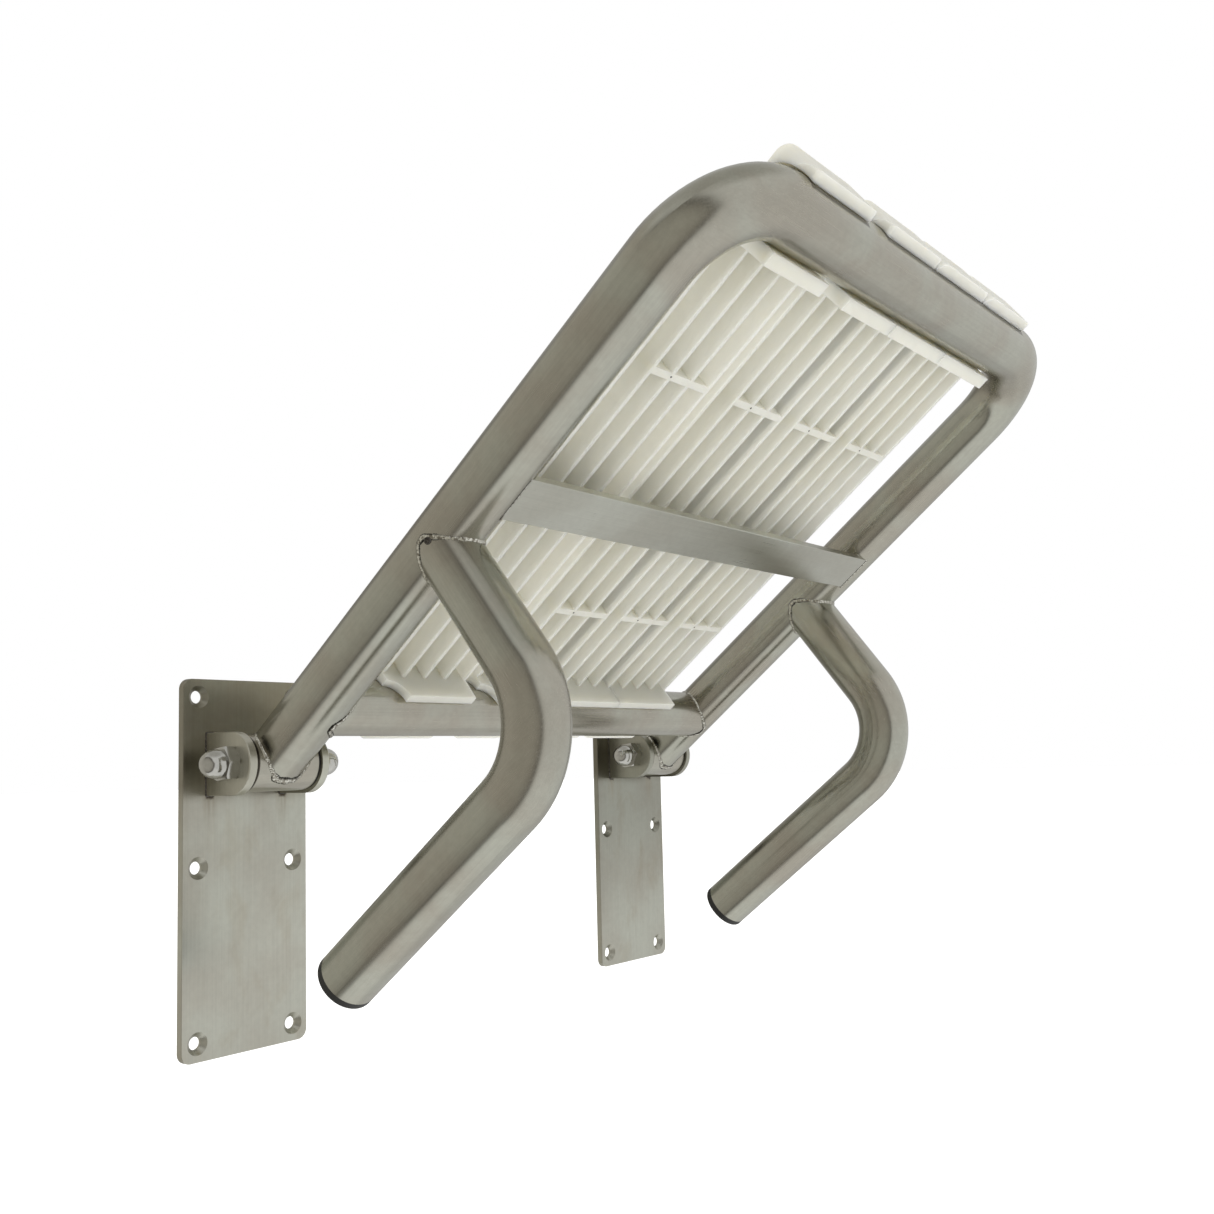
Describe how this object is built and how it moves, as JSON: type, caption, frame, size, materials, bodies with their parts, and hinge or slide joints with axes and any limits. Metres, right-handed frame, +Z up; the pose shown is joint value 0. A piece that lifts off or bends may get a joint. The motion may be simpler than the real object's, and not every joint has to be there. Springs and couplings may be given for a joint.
{
  "type": "wall-mounted folding seat",
  "caption": "Wall-mounted fold-up seat: a bent steel tube frame with moulded slats and bent support legs, hinged on flat wall plates.",
  "frame": {"origin": "centre of the whole wall-fixing hole pattern, on the wall surface behind the plates", "axes": "+X right along the wall, +Y into the wall, +Z up; the seat projects towards -Y"},
  "size_m": [0.545, 0.4328, 0.5213],
  "materials": {
    "plate_steel": "satin stainless sheet, fine vertical grain",
    "tube_steel": "satin stainless tube",
    "nut_steel": "polished stainless",
    "rod_steel": "turned stainless",
    "bush_nylon": "black nylon",
    "plug_plastic": "black polyethylene",
    "slat_plastic": "warm white moulded polypropylene, satin"
  },
  "bodies": {
    "wall_mount": {"wall_plate_left": "plate_steel", "hinge_ear_left_outer": "plate_steel", "hinge_ear_left_inner": "plate_steel", "pivot_rod_left": "rod_steel", "wall_plate_right": "plate_steel", "hinge_ear_right_outer": "plate_steel", "hinge_ear_right_inner": "plate_steel", "pivot_rod_right": "rod_steel", "acorn_nuts": "nut_steel"},
    "seat": {"hinge_sleeve_left": "tube_steel", "hinge_bush_left_outer": "bush_nylon", "hinge_bush_left_inner": "bush_nylon", "leg_left": "tube_steel", "leg_plug_left": "plug_plastic", "hinge_sleeve_right": "tube_steel", "hinge_bush_right_outer": "bush_nylon", "hinge_bush_right_inner": "bush_nylon", "leg_right": "tube_steel", "leg_plug_right": "plug_plastic", "seat_loop": "tube_steel", "rear_cross_tube": "tube_steel", "brace_bar": "plate_steel", "slat_1": "slat_plastic", "slat_2": "slat_plastic", "slat_3": "slat_plastic", "slat_4": "slat_plastic"}
  },
  "joints": [
    {"name": "seat_fold", "type": "hinge", "parent": "wall_mount", "child": "seat", "pos_m": [0, -0.032, 0.068], "axis": [-1, 0, 0], "range_deg": [-38, 51]}
  ]
}
